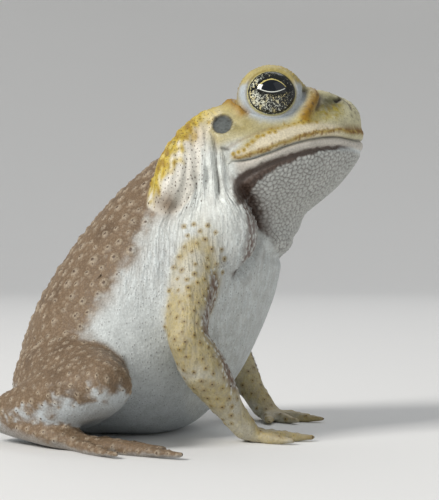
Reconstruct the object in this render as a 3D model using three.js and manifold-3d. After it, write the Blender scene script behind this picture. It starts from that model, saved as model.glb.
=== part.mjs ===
// A life-size cane toad, about 120 mm from snout to vent, sitting upright on its forelegs with its head up.
// Millimetres. +X is the way the toad faces, +Y is its left, +Z is up. Z = 0 is the ground, and the origin is on
// the flat of the belly that rests there.
import * as THREE from 'three';
import { mergeVertices } from 'three/addons/utils/BufferGeometryUtils.js';
import Module from 'manifold-3d';

const wasm = await Module();
wasm.setup();

// Driving dimensions
const GAP = 0.3; // clearance between neighbouring pieces
const RIGHT = 1;
const LEFT = -1;
const HEAD_PITCH = THREE.MathUtils.degToRad(15); // how far above level the snout points
const HEAD_PIVOT = [15, 0, 70]; // the head's own origin, where the skull meets the neck
const EYE_RADIUS = 6.6;
const EYE_CENTRE = [15.9, -13.8, 8.1]; // in the head's own frame
const EYE_MESH = { around: 14, along: 10 };
const EAR_RADIUS = 2.4;
const EAR_CENTRE = [3.3, -19.8, 3.5]; // in the head's own frame
const EAR_TURN = [-0.42, -0.06]; // radians about X, so that it faces up a little, then about Z
const NAPE = [5, 90]; // upper end of the neck cut, as [x, z]
const BREAST = [30, 44]; // its lower end, where the throat meets the breast
const WEB_THICKNESS = 0.9;
const WEB_REACH = 0.72; // how far out along the shorter toe the web runs
const WEB_HOLLOW = 0.35; // how far its free edge is drawn back towards the sole

// Colours and finishes
const skin = (colour) => new THREE.MeshStandardMaterial({ color: colour, roughness: 0.6, metalness: 0 });
const BACK_SKIN = skin(0x9a7d4e);
const HEAD_SKIN = skin(0xc2b070);
const THROAT_SKIN = skin(0xb9bbb6);
const GLAND_SKIN = skin(0xc9a54a);
const LIMB_SKIN = skin(0xc7bb8e);
const EAR_SKIN = skin(0x6c7478);
const EYE_GLOSS = new THREE.MeshStandardMaterial({ color: 0x17170f, roughness: 0.05, metalness: 0 });

// Shape helpers

const vector = (xyz) => new THREE.Vector3(...xyz);

/** A smooth curve through the same field of every station, read by a share from 0 to 1. */
function through(stations, field) {
  const curve = new THREE.CatmullRomCurve3(stations.map(field), false, 'catmullrom', 0.5);
  return (share) => curve.getPoint(THREE.MathUtils.clamp(share, 0, 1));
}

/** Moves every vertex of a geometry to place(x, y, z). */
function reshape(geometry, place) {
  const position = geometry.getAttribute('position');
  for (let i = 0; i < position.count; i += 1) {
    const moved = place(position.getX(i), position.getY(i), position.getZ(i));
    position.setXYZ(i, moved.x, moved.y, moved.z);
  }
  return geometry;
}

/**
 * A round body lofted along X from a unit sphere. Each station has the midline's upper and lower
 * points as [x, z], and half the width there. `level` is where the section is widest, from 0 at the
 * lower point to 1 at the upper one, and a `crown` over 1 brings the upper half to a blunter ridge.
 */
function loft(stations, { around, along, level = 0.5, crown = 1 }) {
  const upper = through(stations, (s) => new THREE.Vector3(s.top[0], 0, s.top[1]));
  const lower = through(stations, (s) => new THREE.Vector3(s.low[0], 0, s.low[1]));
  const half = through(stations, (s) => new THREE.Vector3(s.half, s.level ?? level, s.crown ?? crown));
  return reshape(new THREE.SphereGeometry(1, around, along), (x, y, z) => {
    const share = 1 - Math.acos(THREE.MathUtils.clamp(y, -1, 1)) / Math.PI;
    const ring = Math.hypot(x, z) || 1;
    const [across, rise] = ring > 1e-9 ? [x / ring, z / ring] : [0, 0];
    const { x: width, y: widest, z: power } = half(share);
    const centre = lower(share).lerp(upper(share), widest);
    const end = rise > 0 ? upper(share) : lower(share);
    const point = centre.clone().lerp(end, Math.abs(rise) ** (rise > 0 ? power : 1));
    point.y -= across * width;
    return point;
  });
}

/**
 * A limb, finger or ridge: a capsule bent along its joints. Each joint has a place `at`, a radius `r`,
 * and `flat`, its thickness as a share of its width, measured along `top`.
 */
function limb(joints, { around = 12, along = 10, cap = 3, top = [0, 0, 1] } = {}) {
  const line = new THREE.CatmullRomCurve3(joints.map((j) => vector(j.at)), false, 'catmullrom', 0.5);
  const size = through(joints, (j) => new THREE.Vector3(j.r, j.flat ?? 1, 0));
  return reshape(new THREE.CapsuleGeometry(1, 2, cap, around, along), (x, y, z) => {
    const onTube = THREE.MathUtils.clamp(y, -1, 1);
    const share = (onTube + 1) / 2;
    const ahead = line.getTangent(share);
    const { x: radius, y: flat } = size(share);
    const up = vector(top).addScaledVector(ahead, -vector(top).dot(ahead)).normalize();
    const sideways = ahead.clone().cross(up);
    return line
      .getPoint(share)
      .addScaledVector(ahead, (y - onTube) * radius)
      .addScaledVector(sideways, x * radius)
      .addScaledVector(up, z * radius * flat);
  });
}

/** An ellipsoid. */
function egg(centre, radii, { around = 20, along = 14, turn = [0, 0, 0] } = {}) {
  return new THREE.SphereGeometry(1, around, along)
    .scale(...radii)
    .applyMatrix4(new THREE.Matrix4().makeRotationFromEuler(new THREE.Euler(...turn)))
    .translate(...centre);
}

/** The same geometry on the other side of the toad, with its faces turned to point outwards again. */
function mirrored(geometry) {
  const other = geometry.clone().scale(1, -1, 1);
  const index = other.getIndex();
  for (let i = 0; i < index.count; i += 3) {
    const first = index.getX(i);
    index.setX(i, index.getX(i + 1));
    index.setX(i + 1, first);
  }
  return other;
}

const bothSides = (geometry) => [geometry, mirrored(geometry)];

/** Carries a geometry from the head's own frame, where X runs along the skull, into the toad's. */
function onHead(geometry) {
  return geometry.rotateY(-HEAD_PITCH).translate(...HEAD_PIVOT);
}

/** A closed geometry as a solid, with its surface moved outwards by `grow`. */
function solidOf(geometry, grow = 0) {
  const bare = geometry.clone();
  bare.deleteAttribute('normal');
  bare.deleteAttribute('uv');
  const shared = mergeVertices(bare, 1e-3);
  if (grow) {
    shared.computeVertexNormals();
    const position = shared.getAttribute('position');
    const normal = shared.getAttribute('normal');
    for (let i = 0; i < position.count; i += 1) {
      position.setXYZ(
        i,
        position.getX(i) + normal.getX(i) * grow,
        position.getY(i) + normal.getY(i) * grow,
        position.getZ(i) + normal.getZ(i) * grow,
      );
    }
  }
  return new wasm.Manifold(
    new wasm.Mesh({
      numProp: 3,
      vertProperties: new Float32Array(shared.getAttribute('position').array),
      triVerts: new Uint32Array(shared.getIndex().array),
    }),
  );
}

const joined = (forms, grow = 0) => forms.map((form) => solidOf(form, grow)).reduce((a, b) => a.add(b));

const largest = (solid) => solid.decompose().reduce((a, b) => (a.volume() > b.volume() ? a : b));

/** A solid as a three.js mesh. */
function meshOf(name, solid, material) {
  const { numProp, numVert, vertProperties, triVerts } = solid.getMesh();
  const positions = new Float32Array(numVert * 3);
  for (let i = 0; i < numVert; i += 1) {
    positions.set(vertProperties.subarray(i * numProp, i * numProp + 3), i * 3);
  }
  const geometry = new THREE.BufferGeometry()
    .setAttribute('position', new THREE.BufferAttribute(positions, 3))
    .setIndex(new THREE.BufferAttribute(triVerts, 1));
  geometry.computeVertexNormals();
  const mesh = new THREE.Mesh(geometry, material);
  mesh.name = name;
  return mesh;
}

// The ground, and the cuts that part the body

const ground = solidOf(new THREE.BoxGeometry(300, 300, 60).translate(0, 0, -30));

/** A long outline in the X-Z plane, run through the whole width of the toad. */
function slab(outline, width = 120) {
  const shape = new THREE.Shape(outline.map(([x, z]) => new THREE.Vector2(x, z)));
  return new THREE.ExtrudeGeometry(shape, { depth: width, bevelEnabled: false })
    .translate(0, 0, -width / 2)
    .rotateX(Math.PI / 2);
}

// Trunk: a pear that sits on the flat of its belly, from the vent up to the nape. Below zero it is cut off level.

const trunkStations = [
  { top: [-34, 6], low: [-34, 6], half: 0 },
  { top: [-35, 12.5], low: [-30, 1.5], half: 10 },
  { top: [-34, 21], low: [-22, -0.6], half: 20.5 },
  { top: [-30, 32], low: [-11, -0.9], half: 28.5 },
  { top: [-23.5, 43], low: [4, -0.6], half: 31.5 },
  { top: [-15.5, 53.5], low: [16, 8.5], half: 30 },
  { top: [-7.5, 62], low: [24, 22], half: 26 },
  { top: [0.6, 68.6], low: [29, 36], half: 22.3 },
  { top: [8, 74], low: [31.5, 49], half: 19.6 },
  { top: [14, 78], low: [33, 58], half: 16 },
  { top: [26, 70], low: [26, 70], half: 0 },
];
const trunkForm = loft(trunkStations, { around: 22, along: 16, level: 0.46 });

// The swell of the breast muscle in front of each shoulder
const breastForms = bothSides(
  limb(
    [
      { at: [13.5, -15, 62], r: 7.5, flat: 0.85 },
      { at: [15.6, -16.5, 51.5], r: 9.2, flat: 0.85 },
      { at: [13.8, -17.5, 41], r: 8 },
      { at: [10.5, -18, 32], r: 5.5 },
    ],
    { around: 10, along: 5, cap: 2, top: [0, 1, 0] },
  ),
);

// Head: skull and jaws as one loft along the skull, with lid mounds and bony ridges over it

const headStations = [
  { top: [-14, -8], low: [-14, -8], half: 0, level: 0.5, crown: 1 },
  { top: [-11, 5], low: [-10, -24], half: 18, level: 0.6, crown: 0.95 },
  { top: [-4, 8.3], low: [-3, -25], half: 22, level: 0.61, crown: 0.95 },
  { top: [3, 9.6], low: [5, -24], half: 23, level: 0.6, crown: 0.95 },
  { top: [10, 9.7], low: [12.5, -22], half: 22.3, level: 0.57, crown: 1 },
  { top: [17, 9.4], low: [19, -19.3], half: 20, level: 0.53, crown: 1.05 },
  { top: [23.5, 8.7], low: [25, -16.6], half: 16.8, level: 0.49, crown: 1.05 },
  { top: [28.6, 6.9], low: [29.8, -13.3], half: 12.9, level: 0.45, crown: 1 },
  { top: [32.8, 3.6], low: [33, -10.4], half: 8.6, level: 0.42, crown: 1 },
  { top: [35.2, -0.6], low: [35, -7.6], half: 4.3, level: 0.42, crown: 1 },
  { top: [35.7, -4.2], low: [35.7, -4.2], half: 0, level: 0.5, crown: 1 },
];
const skullForm = loft(headStations, { around: 22, along: 16, level: 0.55 });

// The mound of the upper lid, then the bony ridge between eye and nostril, which turns down in front of the eye
const lidForm = egg([16.3, -12.4, 8], [7.9, 7.4, 7.5], { around: 14, along: 9 });
const frontRidgeForm = limb(
  [
    { at: [24.6, -8.4, 7.6], r: 1.5 },
    { at: [25.2, -12, 5.6], r: 1.7 },
    { at: [23.6, -15, 3], r: 1.5 },
    { at: [21.4, -17.4, 0.9], r: 1.1 },
  ],
  { around: 5, along: 4, cap: 1, top: [1, 0, 0] },
);
const snoutRidgeForm = limb(
  [
    { at: [24.6, -8, 7.4], r: 1.6 },
    { at: [28.8, -5.8, 5.9], r: 1.4 },
    { at: [31.4, -4.4, 4.2], r: 1.1 },
  ],
  { around: 5, along: 3, cap: 1, top: [0, 1, 0] },
);
// The swollen upper lip, from the corner of the mouth to the tip of the snout
const lipForm = limb(
  [
    { at: [2.6, -21.8, -2.6], r: 1.9 },
    { at: [12, -20.8, -2.2], r: 2.2 },
    { at: [22, -16.8, -1.8], r: 2.2 },
    { at: [29.4, -10.6, -2.4], r: 2 },
    { at: [33.4, -4.6, -3.4], r: 1.8 },
    { at: [34.4, 0, -3.8], r: 1.7 },
  ],
  { around: 5, along: 5, cap: 1 },
);
const headForms = [
  skullForm,
  ...[lidForm, frontRidgeForm, snoutRidgeForm, lipForm].flatMap(bothSides),
].map(onHead);

// The throat hangs in a loose bag, with a fold of skin across its root
const throatForms = [
  egg([27, 0, 54], [8.6, 13, 7.6], { around: 12, along: 7, turn: [0, 0.5, 0] }),
  ...bothSides(
    limb(
      [
        { at: [28.8, 1, 49.6], r: 3.4 },
        { at: [29, -7, 48], r: 3.2 },
        { at: [28.6, -11.6, 46.8], r: 2.3 },
      ],
      { around: 6, along: 3, cap: 1, top: [1, 0, 0] },
    ),
  ),
];

// Head and trunk as one body, before it is parted

const bodyForms = [trunkForm, ...breastForms, ...headForms, ...throatForms];
const body = joined(bodyForms).subtract(ground);
const grownBody = joined(bodyForms, GAP);

/** Everything in front of the neck cut, which is moved forwards by `shift`. */
const neckSide = (shift) =>
  solidOf(
    slab([
      [NAPE[0] + shift, NAPE[1]],
      [BREAST[0] + shift, BREAST[1]],
      [BREAST[0] + shift + 8, BREAST[1] - 14],
      [90, 10],
      [90, 120],
    ]),
  );

/** Everything below the mouth cut, which follows the lips back to the mouth's corner, and is raised by `lift`. */
const jawSide = (lift) =>
  solidOf(
    onHead(
      slab([
        [60, -40],
        [60, -8 + lift],
        [35.5, -7.2 + lift],
        [31.4, -6.3 + lift],
        [28.5, -5.2 + lift],
        [25, -4.5 + lift],
        [19, -4.2 + lift],
        [10, -5.1 + lift],
        [3, -4.9 + lift],
        [-3.5, -10 + lift],
        [-8, -40],
      ]),
    ),
  );
const eyeBall = (grow) => onHead(egg(EYE_CENTRE, Array(3).fill(EYE_RADIUS + grow), EYE_MESH));
const eyeSockets = joined(bothSides(eyeBall(GAP)));

/** A short round peg set in the side of the head. Its outer end, trimmed to the head's surface, is the eardrum. */
const earPeg = (grow) =>
  onHead(
    new THREE.CylinderGeometry(EAR_RADIUS + grow, EAR_RADIUS + grow, 7 + grow, 10)
      .rotateX(EAR_TURN[0])
      .rotateZ(EAR_TURN[1])
      .translate(...EAR_CENTRE),
  );

const front = body.intersect(neckSide(GAP / 2)).subtract(eyeSockets);
const trunk = largest(body.subtract(neckSide(-GAP / 2)));
const earHoles = joined(bothSides(earPeg(GAP)));
const ear = largest(front.intersect(solidOf(earPeg(0))));
const head = largest(front.subtract(jawSide(0)).subtract(earHoles));
const jaw = largest(front.intersect(jawSide(-GAP)).subtract(earHoles));
const eye = solidOf(eyeBall(0));

// Glands and limbs are laid on in turn, and each is trimmed back by a gap from all that came before it

/** Trims forms against what is in place already, then adds their grown shape to that. */
function fitted(forms, inPlace) {
  const solid = largest(joined(forms).subtract(inPlace.solid).subtract(ground));
  inPlace.solid = inPlace.solid.add(joined(forms, GAP));
  return solid;
}

// The wide poison gland, from behind the ear down over the shoulder
const glandForm = limb(
  [
    { at: [13, -14, 75.4], r: 3.6, flat: 0.85 },
    { at: [9.4, -16, 70.6], r: 5.5, flat: 0.8 },
    { at: [5.9, -18.4, 64], r: 6, flat: 0.75 },
    { at: [4, -20.6, 58.4], r: 4.3, flat: 0.75 },
  ],
  { around: 10, along: 4, cap: 2, top: [-0.4, -1, 0.3] },
);

/** One toe or finger with swollen joints, laid along the ground from a little way outside the palm or sole. */
function digit(palm, heading, length, radius) {
  const way = new THREE.Vector3(Math.cos(heading), -Math.sin(heading), 0);
  const knots = [
    [0.16, 1, 1.1],
    [0.36, 0.82, 0.95],
    [0.52, 0.95, 1.05],
    [0.78, 0.72, 0.8],
    [1, 0.55, 0.6],
  ];
  const joints = knots.map(([share, width, height]) => {
    const spot = vector(palm).addScaledVector(way, share * length);
    spot.z = THREE.MathUtils.lerp(palm[2], radius * 0.62, Math.min(1, share * 1.6));
    return { at: spot.toArray(), r: radius * width, flat: height };
  });
  return limb(joints, { around: 6, along: 4, cap: 1 });
}

/** The skin between two neighbouring digits, hollowed along its free edge. */
function web(root, from, to, reach) {
  const ends = [from, to].map(
    (heading) => new THREE.Vector3(root[0] + Math.cos(heading) * reach, root[1] - Math.sin(heading) * reach, 0),
  );
  const middle = ends[0].clone().lerp(ends[1], 0.5).lerp(vector(root), WEB_HOLLOW);
  const shape = new THREE.Shape();
  shape.moveTo(root[0], root[1]);
  shape.lineTo(ends[0].x, ends[0].y);
  shape.quadraticCurveTo(middle.x, middle.y, ends[1].x, ends[1].y);
  shape.closePath();
  return new THREE.ExtrudeGeometry(shape, { depth: WEB_THICKNESS, bevelEnabled: false, curveSegments: 3 });
}

/** The point a share of the way from a to b. */
const between = (a, b, share) => vector(a).lerp(vector(b), share).toArray();

/** Forms of a right foreleg: upper arm, forearm, then the four-fingered hand. */
function forelegForms({ shoulder, elbow, wrist, palm, heading }) {
  const upperArm = limb(
    [
      { at: shoulder, r: 6.6 },
      { at: between(shoulder, elbow, 0.45), r: 5.4 },
      { at: between(shoulder, elbow, 0.8), r: 4.6 },
      { at: elbow, r: 4.5 },
    ],
    { around: 10, along: 5, cap: 2, top: [0, -1, 0] },
  );
  const forearm = limb(
    [
      { at: between(shoulder, elbow, 0.97), r: 4.4 },
      { at: between(elbow, wrist, 0.35), r: 5.6 },
      { at: between(elbow, wrist, 0.72), r: 4.4 },
      { at: wrist, r: 3.4 },
    ],
    { around: 10, along: 5, cap: 2, top: [0, -1, 0] },
  );
  const fingers = [
    { turn: -0.95, length: 11.5, radius: 1.7 },
    { turn: -0.35, length: 13, radius: 1.6 },
    { turn: 0.2, length: 15.5, radius: 1.6 },
    { turn: 0.8, length: 12, radius: 1.6 },
  ].map(({ turn, length, radius }) => digit([...palm.slice(0, 2), 1.9], heading + turn, length, radius));
  const hand = [
    limb(
      [
        { at: wrist, r: 3.3 },
        { at: between(wrist, palm, 0.6), r: 3.5, flat: 0.8 },
        { at: palm, r: 3.8, flat: 0.66 },
      ],
      { around: 8, along: 4, cap: 1 },
    ),
    ...fingers,
  ];
  return [[upperArm], [forearm], hand];
}

/** Forms of a right hind leg: thigh, shank, then the five-toed webbed foot. */
function hindLegForms({ hip, knee, ankle, heel, heading }) {
  const thigh = limb(
    [
      { at: hip, r: 11 },
      { at: between(hip, knee, 0.4), r: 11.2 },
      { at: between(hip, knee, 0.8), r: 8.4 },
      { at: knee, r: 6.6 },
    ],
    { around: 10, along: 5, cap: 2 },
  );
  const shank = limb(
    [
      { at: between(hip, knee, 1.02), r: 5.8 },
      { at: between(knee, ankle, 0.35), r: 7.4 },
      { at: between(knee, ankle, 0.75), r: 5.6 },
      { at: ankle, r: 4.2 },
    ],
    { around: 10, along: 5, cap: 2 },
  );
  const toes = [
    { turn: -0.78, length: 14, radius: 1.5 },
    { turn: -0.42, length: 19, radius: 1.6 },
    { turn: -0.1, length: 26, radius: 1.7 },
    { turn: 0.17, length: 35, radius: 1.8 },
    { turn: 0.47, length: 24, radius: 1.6 },
  ];
  const sole = [...heel.slice(0, 2), 2];
  const foot = [
    limb(
      [
        { at: ankle, r: 4 },
        { at: between(ankle, heel, 0.5), r: 4, flat: 0.85 },
        { at: heel, r: 4.6, flat: 0.6 },
        { at: [heel[0] + 4.5 * Math.cos(heading), heel[1] - 4.5 * Math.sin(heading), 2], r: 4.4, flat: 0.5 },
      ],
      { around: 8, along: 5, cap: 1 },
    ),
    ...toes.map(({ turn, length, radius }) => digit(sole, heading + turn, length, radius)),
    ...toes.slice(1).map(({ turn, length }, i) =>
      web(sole, heading + toes[i].turn, heading + turn, Math.min(length, toes[i].length) * WEB_REACH)),
  ];
  return [[thigh], [shank], foot];
}

// The joints of the limbs, all given on the right side. The left limbs sit a few millimetres further forward.
const SHOULDER = [11.5, -17, 49];
const HIP = [-24, -15, 13];
const forelegs = {
  [RIGHT]: {
    shoulder: SHOULDER,
    elbow: [9.5, -33.5, 24],
    wrist: [19.5, -27, 7.5],
    palm: [23, -24.5, 2.6],
    heading: -0.35,
  },
  [LEFT]: {
    shoulder: SHOULDER,
    elbow: [11.5, -33.5, 23.5],
    wrist: [22, -26, 7.5],
    palm: [25.5, -23.5, 2.6],
    heading: -0.5,
  },
};
const hindLegs = {
  [RIGHT]: {
    hip: HIP,
    knee: [-8, -42, 14.5],
    ankle: [-35, -27.5, 6],
    heel: [-19, -39, 2.8],
    heading: 0.4,
  },
  [LEFT]: {
    hip: HIP,
    knee: [-6, -41, 15],
    ankle: [-34, -28, 6],
    heel: [-17, -38.5, 2.8],
    heading: 0.5,
  },
};

// The whole toad

const toad = new THREE.Group();
toad.add(meshOf('trunk', trunk, BACK_SKIN));
toad.add(meshOf('head', head, HEAD_SKIN));
toad.add(meshOf('lower_jaw', jaw, THROAT_SKIN));

/** Adds a piece built for the right side, or its mirror image on the left. */
function addOn(side, name, solid, material) {
  const mesh = meshOf(`${name}_${side === RIGHT ? 'right' : 'left'}`, solid, material);
  mesh.scale.y = side;
  toad.add(mesh);
}

for (const side of [RIGHT, LEFT]) {
  const inPlace = { solid: grownBody };
  const foreleg = forelegForms(forelegs[side]);
  const hindLeg = hindLegForms(hindLegs[side]);
  addOn(side, 'eye', eye, EYE_GLOSS);
  addOn(side, 'eardrum', ear, EAR_SKIN);
  addOn(side, 'gland', fitted([glandForm], inPlace), GLAND_SKIN);
  ['upper_arm', 'forearm', 'hand'].forEach((name, i) => addOn(side, name, fitted(foreleg[i], inPlace), LIMB_SKIN));
  ['thigh', 'shank', 'foot'].forEach((name, i) => addOn(side, name, fitted(hindLeg[i], inPlace), BACK_SKIN));
}

export default toad;
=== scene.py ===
"""A life-size cane toad, sitting upright on its forelegs with its head raised."""

import math

import bmesh
import bpy
import numpy as np
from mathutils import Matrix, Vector, bvhtree, kdtree, noise


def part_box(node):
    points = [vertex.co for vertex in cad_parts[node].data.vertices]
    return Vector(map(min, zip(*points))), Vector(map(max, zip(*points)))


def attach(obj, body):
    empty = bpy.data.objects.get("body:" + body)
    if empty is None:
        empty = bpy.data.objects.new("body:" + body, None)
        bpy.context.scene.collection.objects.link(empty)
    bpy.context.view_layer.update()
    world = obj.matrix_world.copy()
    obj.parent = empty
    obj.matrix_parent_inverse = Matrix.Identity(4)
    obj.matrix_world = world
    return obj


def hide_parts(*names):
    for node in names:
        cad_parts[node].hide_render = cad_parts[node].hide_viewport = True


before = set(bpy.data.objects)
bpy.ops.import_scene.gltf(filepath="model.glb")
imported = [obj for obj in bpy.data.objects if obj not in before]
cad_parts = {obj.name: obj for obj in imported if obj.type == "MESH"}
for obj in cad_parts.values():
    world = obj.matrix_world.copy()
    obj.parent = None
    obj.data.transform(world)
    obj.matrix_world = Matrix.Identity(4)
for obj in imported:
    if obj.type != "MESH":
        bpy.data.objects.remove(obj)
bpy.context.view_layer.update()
scene = bpy.context.scene
MM = 0.001

# The view
# The camera stands level with the toad's chest, a little in front of square to its right side. The toad sits
# in the middle of a wide pale dish. The main soft lamp stands high behind its right shoulder, so that throat
# and breast fall into shade.

AIM = Vector((14.9, 0, 45)) * MM
CAMERA_DISTANCE = 400 * MM
CAMERA_TURN = math.radians(4)
FRAME_HEIGHT = 125 * MM  # what the long side of the picture takes in at the aim point
SENSOR = 36
LAMP_DISTANCE = 1.5
DISH_FLAT = 1.3  # radius of the level floor
DISH_RIM = 0.8  # radius of the curve that rises from it
RIM_STEPS, RIM_RISE = 12, math.radians(80)
DISH_SIDES = 96
FLOOR_PALE = (0.80, 0.80, 0.79, 1)
SKY_PALE, SKY_LIGHT = (0.95, 0.97, 1.0, 1), 0.3

eye_line = Vector((math.sin(CAMERA_TURN), -math.cos(CAMERA_TURN), 0))
camera = bpy.data.objects.new("camera", bpy.data.cameras.new("camera"))
camera.data.sensor_width = SENSOR
camera.data.lens = SENSOR * CAMERA_DISTANCE / FRAME_HEIGHT
camera.data.clip_start = 0.01
camera.location = AIM + eye_line * CAMERA_DISTANCE
camera.rotation_euler = (-eye_line).to_track_quat("-Z", "Y").to_euler()
scene.collection.objects.link(camera)
scene.camera = camera


def lamp(name, azimuth, elevation, size, power, colour):
    """A square soft lamp that looks at the aim point. Azimuth 0 is straight to the toad's right."""
    turn, rise = math.radians(azimuth), math.radians(elevation)
    way = Vector((math.sin(turn) * math.cos(rise), -math.cos(turn) * math.cos(rise), math.sin(rise)))
    light = bpy.data.lights.new(name, "AREA")
    light.size = size
    light.energy = power
    light.color = colour
    holder = bpy.data.objects.new(name, light)
    holder.location = AIM + way * LAMP_DISTANCE
    holder.rotation_euler = way.to_track_quat("Z", "Y").to_euler()
    scene.collection.objects.link(holder)


lamp("key_lamp", azimuth=-52, elevation=36, size=0.5, power=19, colour=(1.0, 0.975, 0.94))
lamp("fill_lamp", azimuth=50, elevation=35, size=1.2, power=2, colour=(0.94, 0.97, 1.0))
lamp("back_lamp", azimuth=170, elevation=50, size=1.0, power=5, colour=(1.0, 1.0, 1.0))

world = bpy.data.worlds.new("studio")
world.use_nodes = True
sky = world.node_tree.nodes["Background"]
sky.inputs["Color"].default_value = SKY_PALE
sky.inputs["Strength"].default_value = SKY_LIGHT
scene.world = world
scene.view_settings.view_transform = "Standard"

dish_form = bmesh.new()
profile = [dish_form.verts.new((0, 0, 0)), dish_form.verts.new((DISH_FLAT, 0, 0))]
for step in range(1, RIM_STEPS + 1):
    turn = RIM_RISE * step / RIM_STEPS
    profile.append(dish_form.verts.new((
        DISH_FLAT + DISH_RIM * math.sin(turn), 0, DISH_RIM * (1 - math.cos(turn)))))
lines = [dish_form.edges.new(pair) for pair in zip(profile, profile[1:])]
bmesh.ops.spin(dish_form, geom=profile + lines, cent=(0, 0, 0), axis=(0, 0, 1), angle=math.tau,
               steps=DISH_SIDES, use_merge=True)
bmesh.ops.remove_doubles(dish_form, verts=dish_form.verts, dist=1e-5)
bmesh.ops.recalc_face_normals(dish_form, faces=dish_form.faces)
dish_mesh = bpy.data.meshes.new("floor")
dish_form.to_mesh(dish_mesh)
dish_form.free()
for face in dish_mesh.polygons:
    face.use_smooth = True
floor = bpy.data.objects.new("floor", dish_mesh)
scene.collection.objects.link(floor)


def new_material(name):
    """A material, its node tree and its shader."""
    made = bpy.data.materials.new(name)
    made.use_nodes = True
    return made, made.node_tree, made.node_tree.nodes["Principled BSDF"]


floor_paint, _, shader = new_material("floor_paint")
shader.inputs["Base Color"].default_value = FLOOR_PALE
shader.inputs["Roughness"].default_value = 0.9
dish_mesh.materials.append(floor_paint)

# Skin: the form
# The toad wears one loose, unbroken skin. The solids of flesh and the eyeballs are swollen until the cuts
# between them close, and all of it is melted into one surface.

VOXEL = 0.5 * MM
CLOSE_CUTS = 0.25 * MM  # how far each solid is swollen

form = bmesh.new()
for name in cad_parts:
    part = bmesh.new()
    part.from_mesh(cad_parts[name].data)
    bmesh.ops.remove_doubles(part, verts=part.verts, dist=1e-6)
    part.normal_update()
    swell = {vertex: vertex.normal * CLOSE_CUTS for vertex in part.verts}
    for vertex, step in swell.items():
        vertex.co += step
    passing = bpy.data.meshes.new("passing")
    part.to_mesh(passing)
    part.free()
    form.from_mesh(passing)
    bpy.data.meshes.remove(passing)

skin_mesh = bpy.data.meshes.new("skin")
form.to_mesh(skin_mesh)
form.free()
skin = bpy.data.objects.new("skin", skin_mesh)
scene.collection.objects.link(skin)


def applied(piece):
    """Applies the piece's modifiers to its mesh."""
    bpy.context.view_layer.update()
    done = bpy.data.meshes.new_from_object(piece.evaluated_get(bpy.context.evaluated_depsgraph_get()))
    piece.modifiers.clear()
    old = piece.data
    piece.data = done
    bpy.data.meshes.remove(old)
    done.name = piece.name


melt = skin.modifiers.new("melt", "REMESH")
melt.mode = "VOXEL"
melt.voxel_size = VOXEL
melt.use_smooth_shade = True
applied(skin)

# Skin: smoothing
# The solids are faceted, and the living skin lies smooth over them. The trunk takes the most smoothing, the
# limbs less and the fingers and toes very little, so that none of them grows thin.

SMOOTHING_ROUNDS = 110
HELD_LIMBS, HELD_DIGITS, HELD_HEAD = 0.55, 0.92, 0.5  # the share of the smoothing that they are spared


def vertex_places(piece):
    """The piece's vertices in millimetres, its edges, and how many edges meet at each vertex."""
    places = np.empty(len(piece.data.vertices) * 3)
    piece.data.vertices.foreach_get("co", places)
    pairs = np.empty(len(piece.data.edges) * 2, int)
    piece.data.edges.foreach_get("vertices", pairs)
    meeting = np.bincount(pairs, minlength=len(places) // 3)[:, None]
    return places.reshape(-1, 3) / MM, pairs.reshape(-1, 2), meeting


points, edges, degree = vertex_places(skin)


def neighbours_mean(values):
    """The mean of a value over each vertex's neighbours."""
    total = np.empty_like(values)
    for column in range(values.shape[1]):
        total[:, column] = np.bincount(edges[:, 0], values[edges[:, 1], column], len(values)) + np.bincount(
            edges[:, 1], values[edges[:, 0], column], len(values))
    return total / degree


def spread(values, rounds, where=1):
    """Softens a mask's border, or smooths a form, in the given number of rounds, as far as where allows."""
    for _ in range(rounds):
        values = values + (neighbours_mean(values) - values) * 0.5 * where
    return values


owners, corners, faces = [], [], []
for name in sorted(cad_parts):
    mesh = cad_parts[name].data
    start = len(corners)
    corners += [vertex.co / MM for vertex in mesh.vertices]
    faces += [[start + corner for corner in face.vertices] for face in mesh.polygons]
    owners += [name] * len(mesh.polygons)
solids = bvhtree.BVHTree.FromPolygons(corners, faces)


def nearest_owner():
    """The node that each vertex of the skin lies on."""
    return np.array([owners[solids.find_nearest(point)[2]] for point in points])


owner = nearest_owner()


def share(*names, rounds=8):
    """A soft mask of the skin that lies over the named nodes, on both sides of the body."""
    held = np.isin(owner, [name + side for name in names for side in ("", "_right", "_left")])
    return spread(held.astype(float)[:, None], rounds)[:, 0]


digits = share("hand", "foot", rounds=4)
limbs = share("upper_arm", "forearm", "thigh", "shank")
head = share("head", "lower_jaw", "eye", "eardrum")
softness = np.clip(1 - HELD_LIMBS * limbs - HELD_DIGITS * digits - HELD_HEAD * head, 0.05, 1)
points = spread(points, SMOOTHING_ROUNDS, softness[:, None])

# Skin: the glands
# Behind each eardrum lies a long poison gland, a raised oval of skin full of pores. The loose skin fills the
# hollow between it and the shoulder, so that it has no hard edge.

FILLING_ROUNDS = 70
FILLING_STEP = 0.9  # the share of the way to its neighbours' mean that a point rises in each round


def ease(value):
    """A smooth step from 0 to 1."""
    value = np.clip(value, 0, 1)
    return value * value * (3 - 2 * value)


def write_form():
    """Puts the points back into the skin's mesh."""
    skin.data.vertices.foreach_set("co", (points * MM).ravel())
    skin.data.update()


def facing():
    """The outward normals of the skin as it stands."""
    write_form()
    normals = np.empty(len(points) * 3, np.float32)
    skin.data.vertex_normals.foreach_get("vector", normals)
    return normals.reshape(-1, 3).astype(float)


beside_gland = ease(share("gland", rounds=60) * 6)
normals = facing()
for _ in range(FILLING_ROUNDS):
    pull = neighbours_mean(points) - points
    outward = np.maximum((pull * normals).sum(1), 0) * beside_gland
    points = points + normals * outward[:, None] * FILLING_STEP

# Skin: the eyelids
# A fixed collar of bare skin holds each eyeball, thin at its edge and thicker outwards. It is bluish white
# below and behind, and granular and beige where the upper lid passes over the top. The mesh of the face is
# made finer first.

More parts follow.
